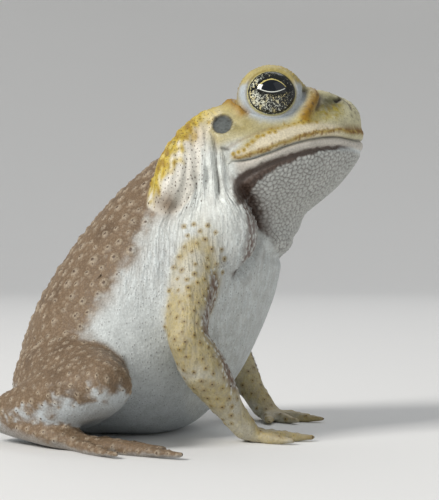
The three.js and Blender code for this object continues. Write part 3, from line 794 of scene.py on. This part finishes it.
# Glands
lay(GLAND_PINK, gland_spread * ease((belly_side + 6.5) / 3))
streaky = mottle(1, 90, points @ np.array(((0.35, 0, 0.9), (0, 0.6, 0), (-0.35, 0, 0.25))))
gland_top = ease(gland * 1.6)
lay(GLAND_YELLOW, gland_top * ease((-1.8 - belly_side + 1.6 * streaky + 0.8 * fleck) / 3))
lay(GLAND_LIGHT, gland_top * ease((-3 - belly_side) / 3) * ease(-streaky * 1.6 - 0.1) * 0.6)
lay(GLAND_YELLOW, ring(length(np.abs(points) - (12.5, 13, 77.5)), 6) * ease(rise / 4) * 0.9)
lay(GLAND_ORANGE, gland_spread * ease((-4.0 - belly_side + 4 * streaky) / 4) * 0.7)
lay(BACK_BROWN, gland_spread * ease(streaky * 2.2 - 0.9) * ease((-2.5 - belly_side) / 3) * 0.35)
lay(DARK_BROWN_AND_SHADE, gland_spread * ease(fine_fleck * 1.8 - 0.75) * ease((-2 - belly_side) / 3) * 0.65)
seen_flat = points * (1, 0, 1)
orange_patch = ring(length(seen_flat - (10, 0, 72.5)), 2.6) * gland_spread
lay(GLAND_ORANGE, orange_patch * 0.5)
tip_patch = ring(length(seen_flat - (3.8, 0, 55.5)) + waver, 3.2) * flank
lay(BACK_BROWN, tip_patch * 0.9)

# Throat, lower lip and the grooves beside them, partly brown skin and partly painted shade
lay(THROAT_GREY, on_throat)
# Painted shade in the grooves between the throat's pebbles
lay(GROOVE_BROWN_AND_SHADE, on_throat * ease((0.3 - pebble) / 0.3) * 0.62)
low_lip = on_jaws * ease(-above_mouth / 0.3) * ease((below_lip + 0.3) / 0.6)
lay(LOWER_LIP, low_lip)
# Below the lower lip: a band of the skin's own dark brown, deepened with painted shade in the groove
groove_width = np.interp(fore, (3, 8, 14, 24, 32), (3.2, 1.7, 1.1, 0.6, 0.45))
off_groove = np.abs(below_lip + 0.45 * groove_width + 0.2 * fleck + 0.2 * fine_fleck)
groove_band = ease((groove_width - off_groove) / 0.5 + 0.5)
groove_band *= ease((fore - 1.0 + 0.4 * fleck) / 1.2) * (rise > -16)
lay(GROOVE_BROWN_AND_SHADE, groove_band * ease((33 - fore) / 5) * 0.95)
# Painted shade in the crease between throat and breast, over skin that is partly brown; it is strongest on
# the throat side and where the surface turns forward, away from the main lamp
crease_width = 2.0 + 0.9 * crease_along
crease_band = np.exp(-((crease_distance + 0.5 * fleck) / crease_width) ** 2) * tapered(crease_along, 0.08)
crease_band *= np.clip(2 * throat + ease((turned[:, 0] - 0.66) / 0.25), 0, 1)
lay(GROOVE_BROWN_AND_SHADE, crease_band * (1 - 0.9 * domes["breast_edge"]) * ease((1.25 - crease_along) * 3))
# Painted shade in the folds of the neck
lay(GROOVE_BROWN_AND_SHADE, neck_fold * 0.55)

# Upper lip
lip_band = ease(below_edge / 0.5) * ease(above_mouth / 0.3) * on_jaws * head
lay(LIP_PINK, lip_band * ease((32 - fore) / 4))
lay(LIP_YELLOW, edge_row * 0.5)
lay(LIP_YELLOW, ease(domes["lip_edge"] * 1.6) * 0.9)
lay(LIP_YELLOW, rim_row * 0.85)
lay(LIP_BROWN, rim_row * ease(fine_fleck * 1.6) * 0.35)
lay(LIP_BROWN, ease(domes["lip_rim"] * 1.6 - 0.2) * ease(0.7 + 1.5 * fleck) * 0.7)
lip_tip = ease((fore - 29.5) / 3) * ring(above_mouth - rim_height - 0.3, 1.1)
lay(LIP_BROWN, lip_tip * ease(0.9 + fine_fleck) * 0.85)
# Painted shade in the slit of the mouth
lay(SHADE_AND_MARK_BLACK, ring(above_mouth, 0.2) * on_jaws * 0.7)

# Ridges, nostrils, lids and eardrums
lay(RIDGE_ORANGE, ring(front_distance, 1.5) * tapered(front_along, 0.04) * 0.95)
# Painted shade in the groove in front of the front ridge, on its side away from the light
lay(DARK_BROWN_AND_SHADE, ridge_front * 0.9)
# Painted shade in the notch between the lid and the front ridge
lay(SHADE_AND_MARK_BLACK, ring(notch_distance, 0.8) * 0.9)
lay(DARK_BROWN_AND_SHADE, ring(front_distance, 1.4) * ease(fine_fleck * 2 - 0.9) * 0.75)
# Painted shade in the nostril's pit
lay(SHADE_AND_MARK_BLACK, ring(nostril_distance - 0.1, 0.55) * 0.95)
# Painted shade along the fold in front of each nostril
lay(DARK_BROWN_AND_SHADE, ring(nostril_rim, 0.45) * tapered(nostril_rim_along, 0.2) * 0.85)
lay(LID_WHITE, lid_band * (1 - lid_top))
lay(LID_BEIGE, np.maximum(lid_band, 0.9 * ease((5 - past_edge) / 2)) * lid_top * head)
lid_front = lid_top * ease((fore - 17.5) / 2.5) * ease((past_edge - 0.6) / 0.8) * ease((6 - past_edge) / 2)
lay(LIP_YELLOW, lid_front * ease(domes["lid"] * 1.5 + 0.4 * fleck) * 0.8)
lay(LIP_YELLOW, ring(past_edge + 0.1, 0.3) * 0.6)
lay(RIDGE_ORANGE, ring(post_distance, 1.45) * tapered(post_along, 0.12) * 0.95)
lay(DARK_BROWN_AND_SHADE, ring(post_distance, 1.0) * ease(fine_fleck * 2 - 0.8) * tapered(post_along, 0.12) * 0.75)
lay(LIP_BROWN, cheek_line * 0.4)
# Painted shade in the pit at the corner of the mouth
lay(SHADE_AND_MARK_BLACK, ring(corner_mark, 0.45) * 0.75)
lay(EAR_SLATE, ease(eardrum * 1.5))
lay(SHADE_AND_MARK_BLACK, eardrum * ease(fine_fleck * 1.5 - 0.1) * 0.5)
lay(CHEEK_CREAM, domes["ear_rim"] * 0.8)
lay(SHADE_AND_MARK_BLACK, ring(from_ear - EAR_RADIUS, 0.26) * 0.75 + ring(from_ear, 0.35) * 0.5)

# Skin: texture and finish
# Matt living skin with a faint moist sheen. Fine grains cover the belly and the back, and upright wrinkles
# the neck and breast, with painted shade in the gaps between the grains and in the wrinkles' valleys. The
# warts of back and arms and the pores of the glands have dark middles.

SHEEN = 0.3
SOLE_LEVEL = 0.3  # the skin below this height rests on the ground
PLAIN_RELIEF = 0.03  # the skin is plain where warts and pebbles raise it by less than this

breast = belly * ease((z - 26) / 16) * (1 - hind) + neck_white
no_wrinkle = np.maximum.reduce((ease(throat * 1.5) * (fore > 2), low_lip, head * (fore > 1.5)))
wrinkled = np.clip(breast + 0.5 * arm_skin, 0, 1) * (1 - no_wrinkle) * ease(side / 6)
dotted = sum(domes[kind] for kind in ("back", "leg", "arm", "pore")) * 3
dotted += domes["lip_edge"] * 0.7 + domes["snout"] * 1.5
rough = 1 - 0.75 * head - 0.85 * np.maximum(breast, belly) - 0.75 * gland_spread - eardrum - smooth_lid
masks = {
    "belly_grain": belly * (1 - on_throat) * (1 - 0.75 * ease((z - 40) / 14) * ease((side - 12) / 4)),
    "wrinkles": wrinkled * (1 - 0.75 * gland_spread),
    "wart_edge": wart_edge,
    "wart_dot": np.clip(dotted, 0, 1),
    "bare": np.clip(smooth_lid, 0, 1),
    "rough": np.clip(rough, 0.08, 1),
}

write_form()
tone_layer = skin.data.attributes.new("tone", "FLOAT_COLOR", "POINT")
tone_layer.data.foreach_set("color", np.hstack((np.clip(tone, 0, 1), np.ones((len(tone), 1)))).ravel())
for name, mask in masks.items():
    layer = skin.data.attributes.new(name, "FLOAT", "POINT")
    layer.data.foreach_set("value", np.array(mask, np.float32))
plain = (np.abs(relief) < PLAIN_RELIEF) & (z > SOLE_LEVEL)
plain &= (from_ear > EAR_RADIUS + 0.6) & ((side > 4) | (fore < 18))
breast_side = ease((x + 2) / 8) * ease((z - 30) / 10)
smooth_parts = {  # the parts of the skin where the mesh can be coarser, and how much of it is kept
    "soles": (z <= SOLE_LEVEL, 0.15),
    "belly": (trunk * (belly_side > 2) * (breast_side < 0.5) * plain, 0.09),
    "breast": (trunk * (belly_side > 2) * (breast_side >= 0.5) * plain, 0.36),
    "back": (trunk * (belly_side <= 2) * plain, 0.33),
    "hind_leg": (hind * plain, 0.22),
    "arms": ((arm + hand) * plain, 0.62),
    "crown": (head * (rise > 4) * (past_edge > 6) * plain, 0.4),
    "face": (np.maximum(head, throat) * (pebble == 0) * (np.abs(above_mouth) > 1.5) * plain, 0.43),
    "throat": (on_throat, 0.5),
}
for name, (where, _) in smooth_parts.items():
    group = skin.vertex_groups.new(name=name)
    group.add([int(index) for index in np.flatnonzero(where > 0.5)], 1.0, "REPLACE")
for name, (where, kept) in smooth_parts.items():
    triangles = sum(len(face.vertices) - 2 for face in skin.data.polygons)
    thin = skin.modifiers.new(name, "DECIMATE")
    thin.ratio = 1 - (1 - kept) * 2 * (where > 0.5).sum() / triangles
    thin.vertex_group = name
    thin.vertex_group_factor = 1.0
    applied(skin)


toad_skin, skin_tree, skin_shader = new_material("toad_skin")


def node(kind, inputs=(), **settings):
    """Adds a node to the tree in hand, sets its options and fills its inputs with values or outputs."""
    made = tree.nodes.new("ShaderNode" + kind)
    for option, value in settings.items():
        setattr(made, option, value)
    for socket, value in dict(inputs).items():
        if isinstance(value, bpy.types.NodeSocket):
            tree.links.new(value, made.inputs[socket])
        else:
            made.inputs[socket].default_value = value
    return made


def calc(operation, *values):
    """A Math node's result."""
    return node("Math", dict(enumerate(values)), operation=operation).outputs[0]


def product(*values):
    """Two or more values multiplied."""
    result = values[0]
    for value in values[1:]:
        result = calc("MULTIPLY", result, value)
    return result


def mixed(factor, below, above):
    """A colour laid over another by a factor."""
    return node("Mix", {0: factor, 6: below, 7: above}, data_type="RGBA").outputs[2]


def stepped(value, low, high):
    """A smooth step of a value from low to high."""
    return node("MapRange", {0: value, 1: low, 2: high}, interpolation_type="SMOOTHSTEP").outputs[0]


def scaled(vector, factor):
    """A vector or colour made larger or smaller."""
    return node("VectorMath", {0: vector, "Scale": factor}, operation="SCALE").outputs[0]


# Small rounded grains packed side by side: their height, the gaps between them and a dot on some of them
grains = bpy.data.node_groups.new("skin_grains", "ShaderNodeTree")
for title, kind in (("Place", "NodeSocketVector"), ("Size", "NodeSocketFloat")):
    grains.interface.new_socket(title, in_out="INPUT", socket_type=kind)
for title in ("Height", "Gap", "Dot"):
    grains.interface.new_socket(title, in_out="OUTPUT", socket_type="NodeSocketFloat")
tree = grains
taken, given = grains.nodes.new("NodeGroupInput").outputs, grains.nodes.new("NodeGroupOutput").inputs
in_grains = scaled(taken["Place"], calc("DIVIDE", 1.0, taken["Size"]))
cells = node("TexVoronoi", {"Vector": in_grains, "Scale": 1.0, "Randomness": 0.85}).outputs
grains.links.new(stepped(cells["Distance"], 0.68, 0.1), given["Height"])
grains.links.new(stepped(cells["Distance"], 0.42, 0.66), given["Gap"])
chosen = stepped(node("SeparateColor", {0: cells["Color"]}).outputs[0], 0.5, 0.52)
grains.links.new(product(chosen, stepped(cells["Distance"], 0.3, 0.18)), given["Dot"])

tree = skin_tree


def held(name):
    """The value that the skin's mesh holds under a name."""
    return node("Attribute", attribute_name=name).outputs["Fac"]


def grained(place, size):
    """The grains' height, gaps and dots at the given place and size."""
    return node("Group", {0: place, 1: size}, node_tree=grains).outputs


in_mm = scaled(node("TexCoord").outputs["Object"], 1 / MM)
upright = node("Mapping", {"Vector": in_mm, "Scale": (1.2, 1.2, 0.75)}).outputs[0]
ahead, sideways, height_z = node("SeparateXYZ", {0: in_mm}).outputs
beside = calc("MAXIMUM", calc("ABSOLUTE", sideways), 2.0)
turn = calc("SUBTRACT", calc("ARCTAN2", calc("SUBTRACT", ahead, 2.0), beside), 0.52)
fan = product(turn, calc("MULTIPLY_ADD", stepped(height_z, 50.0, 66.0), 22.0, 20.0))
fan_long = node("CombineXYZ", {0: product(fan, 0.8), 1: product(height_z, 0.11)}).outputs[0]
fan_short = node("CombineXYZ", {0: fan, 1: product(height_z, 0.3)}).outputs[0]
belly_grains = grained(upright, 0.72)
fine_grains = grained(in_mm, 0.55)
streak_grains = grained(fan_short, 0.62)
streaks = node("TexNoise", {"Vector": fan_long, "Scale": 1.0, "Detail": 2.0, "Roughness": 0.6}).outputs[0]
valleys = stepped(calc("ABSOLUTE", calc("SUBTRACT", streaks, 0.5)), 0.12, 0.0)
cloud = node("TexNoise", {"Vector": in_mm, "Scale": 0.35, "Detail": 4.0}).outputs[0]
speckle = node("TexNoise", {"Vector": in_mm, "Scale": 2.2, "Detail": 3.0}).outputs[0]

base = node("Attribute", attribute_name="tone").outputs["Color"]
shade = calc("ADD", product(cloud, 0.35), product(speckle, 0.45))
base = mixed(stepped(shade, 0.52, 0.25), base, scaled(base, 0.74))
wrinkled, bare, rough, belly_mask = held("wrinkles"), held("bare"), held("rough"), held("belly_grain")
dot = product(stepped(held("wart_edge"), 0.42, 0.2), held("wart_dot"))
# Painted shade darkens the gaps between the grains and the valleys of the wrinkles; the belly's dots and the
# dark middles of warts and pores are the skin's own
for mask, mark, strength, colour in (
        (belly_mask, belly_grains["Gap"], 0.16, (0.33, 0.34, 0.34, 1)),
        (belly_mask, belly_grains["Dot"], 0.5, (0.10, 0.09, 0.09, 1)),
        (wrinkled, streak_grains["Gap"], 0.22, (0.34, 0.32, 0.29, 1)),
        (wrinkled, valleys, 0.12, (0.30, 0.26, 0.20, 1)),
        (rough, fine_grains["Gap"], 0.35, (0.09, 0.055, 0.03, 1)),
        (dot, 1.0, 0.85, (0.06, 0.03, 0.015, 1))):
    base = mixed(product(mask, mark, strength), base, colour)

height = product(speckle, 0.05)
for mask, mark, depth in (
        (belly_mask, belly_grains["Height"], 0.045),
        (rough, fine_grains["Height"], 0.07),
        (wrinkled, streak_grains["Height"], 0.1),
        (wrinkled, valleys, -0.05),
        (wrinkled, streaks, 0.5)):
    height = calc("MULTIPLY_ADD", product(mask, mark), depth, height)
bump = node("Bump", {"Strength": 1.0, "Distance": MM, "Height": height})
roughness = calc("MULTIPLY_ADD", bare, -0.14, calc("MULTIPLY_ADD", speckle, 0.25, 0.38))
tree.links.new(base, skin_shader.inputs["Base Color"])
tree.links.new(roughness, skin_shader.inputs["Roughness"])
tree.links.new(bump.outputs[0], skin_shader.inputs["Normal"])
skin_shader.inputs["Specular IOR Level"].default_value = SHEEN
skin.data.materials.clear()
skin.data.materials.append(toad_skin)
flesh = sorted(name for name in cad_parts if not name.startswith("eye_"))
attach(skin, "root")
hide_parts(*flesh)

# Eyes
# Two glossy balls set in the lids, each with a clear wet surface over a black iris dusted with silver and
# gold, and a lying lens of a pupil with a golden arc above it and a white one below, which is partly the
# pupil's pale rim and partly a painted reflection. Each holds its own flat map of the iris.

PUPIL_LEVEL = 0.95  # the line through the pupil's two corners, above the middle of the iris
PUPIL_WIDTH, PUPIL_TOP, PUPIL_LOW = 3.35, 1.75, 1.15  # from its middle to its corners, top and bottom
DISC_WIDTH, DISC_HEIGHT = 5.85, 5.4  # from the middle of the eye's disc to its edge
MAP_SIZE = 40  # millimetres of iris across the eye's map
IRIS_BLACK, PUPIL_BLACK = (0.008, 0.009, 0.007, 1), (0.006, 0.008, 0.012, 1)
FLECK_SILVER, FLECK_GOLD = (0.66, 0.68, 0.58, 1), (0.66, 0.58, 0.30, 1)
ARC_GOLD, ARC_WHITE_AND_GLINT = (0.66, 0.56, 0.20, 1), (0.70, 0.72, 0.66, 1)
IRIS_EDGE, EYE_RIM = (0.012, 0.012, 0.008, 1), (0.45, 0.42, 0.20, 1)


def eyeball(name, mirror):
    """A ball whose pole is the middle of the iris, with a map that shows the iris flat."""
    out, fore_way, up_way = (Vector((way.x, way.y * mirror, way.z)) for way in (EYE_OUT, EYE_FORE, EYE_UP))
    centre = Vector(EYE_CENTRE * (1, mirror, 1))
    ball = bmesh.new()
    bmesh.ops.create_uvsphere(ball, u_segments=64, v_segments=40, radius=EYE_RADIUS * MM)
    bmesh.ops.rotate(ball, verts=ball.verts, matrix=out.to_track_quat("Z", "Y").to_matrix())
    flat = ball.loops.layers.uv.new("iris_map")
    for face in ball.faces:
        face.smooth = True
        for loop in face.loops:
            way = loop.vert.co.normalized()
            angle = way.angle(out)
            reach_out = math.sin(angle) if angle < math.pi / 2 else 1 + angle - math.pi / 2
            spoke = Vector((way.dot(fore_way), way.dot(up_way)))
            spoke = spoke.normalized() * reach_out if spoke.length > 1e-6 else Vector((0, 0))
            loop[flat].uv = spoke * EYE_RADIUS / MAP_SIZE + Vector((0.5, 0.5))
    bmesh.ops.translate(ball, verts=ball.verts, vec=centre * MM)
    mesh = bpy.data.meshes.new(name)
    ball.to_mesh(mesh)
    ball.free()
    piece = bpy.data.objects.new(name, mesh)
    scene.collection.objects.link(piece)
    return piece


iris, tree, shader = new_material("iris")
flat_place = node("UVMap", uv_map="iris_map").outputs[0]
flat_mm = node("Mapping", {"Vector": flat_place, "Location": (-MAP_SIZE / 2, -MAP_SIZE / 2, 0),
                           "Scale": (MAP_SIZE, MAP_SIZE, 1)}).outputs[0]
across, upward, _ = node("SeparateXYZ", {0: flat_mm}).outputs


def band(value, low, high, blur):
    """A mask that is 1 between two values, with soft borders."""
    return product(stepped(value, low - blur, low + blur), stepped(value, high + blur, high - blur))


wide, high = calc("DIVIDE", across, DISC_WIDTH), calc("DIVIDE", upward, DISC_HEIGHT)
disc = calc("SQRT", calc("ADD", product(wide, wide), product(high, high)))  # 1 at the edge of the eye's disc
flecks = node("TexNoise", {"Vector": flat_mm, "Scale": 2.5, "Detail": 3.0, "Roughness": 0.65,
                           "Distortion": 1.0}).outputs[0]
patches = node("TexNoise", {"Vector": flat_mm, "Scale": 0.45, "Detail": 1.0}).outputs[0]

# The pupil is a lens: how far each place lies above its top, below its low edge, and outside it
level = calc("SUBTRACT", upward, PUPIL_LEVEL)
off_middle = calc("POWER", calc("DIVIDE", calc("ABSOLUTE", across), PUPIL_WIDTH), 2.0)
narrowing = calc("MAXIMUM", calc("SUBTRACT", 1.0, off_middle), -0.5)
over_top = calc("SUBTRACT", level, product(narrowing, PUPIL_TOP))
under_low = calc("SUBTRACT", product(level, -1.0), product(narrowing, PUPIL_LOW))
outside = calc("MAXIMUM", over_top, under_low)

# The flecks lie thickest low in the rear of the iris, and keep clear of the pupil
low_rear = calc("MULTIPLY_ADD", calc("ADD", across, product(upward, 0.5)), -0.014, product(patches, 0.14))
clear_middle = product(stepped(outside, 1.7, 0.3), -0.15)
fleck_sum = calc("ADD", calc("ADD", flecks, low_rear), clear_middle)
fleck_colour = mixed(stepped(patches, 0.42, 0.6), FLECK_SILVER, FLECK_GOLD)
base = mixed(stepped(fleck_sum, 0.62, 0.65), IRIS_BLACK, fleck_colour)

gold_width = calc("MULTIPLY_ADD", flecks, 0.9, calc("MULTIPLY_ADD", across, -0.03, -0.1))
gold_arc = product(stepped(calc("SUBTRACT", gold_width, over_top), 0.0, 0.06), stepped(over_top, 0.0, 0.06),
                   stepped(narrowing, -0.1, 0.1), stepped(level, -0.1, 0.1))
# The white arc below the pupil is partly its pale rim and partly a painted reflection
white_rim_and_glint = product(band(under_low, 0.04, 0.26, 0.04), stepped(narrowing, 0.06, 0.2),
                    stepped(level, 0.1, -0.1))
for mask, colour in (
        (gold_arc, ARC_GOLD),
        (white_rim_and_glint, ARC_WHITE_AND_GLINT),
        (stepped(outside, 0.03, -0.03), PUPIL_BLACK),
        (band(disc, 0.90, 0.95, 0.02), IRIS_EDGE),
        (stepped(disc, 0.955, 0.985), EYE_RIM)):
    base = mixed(mask, base, colour)
tree.links.new(base, shader.inputs["Base Color"])
shader.inputs["Specular IOR Level"].default_value = 0.0
shader.inputs["Coat Weight"].default_value = 1.0
shader.inputs["Coat Roughness"].default_value = 0.03
for name, mirror in (("eyeball_right", 1), ("eyeball_left", -1)):
    piece = eyeball(name, mirror)
    piece.data.materials.append(iris)
    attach(piece, "root")
    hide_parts(name.replace("eyeball", "eye"))
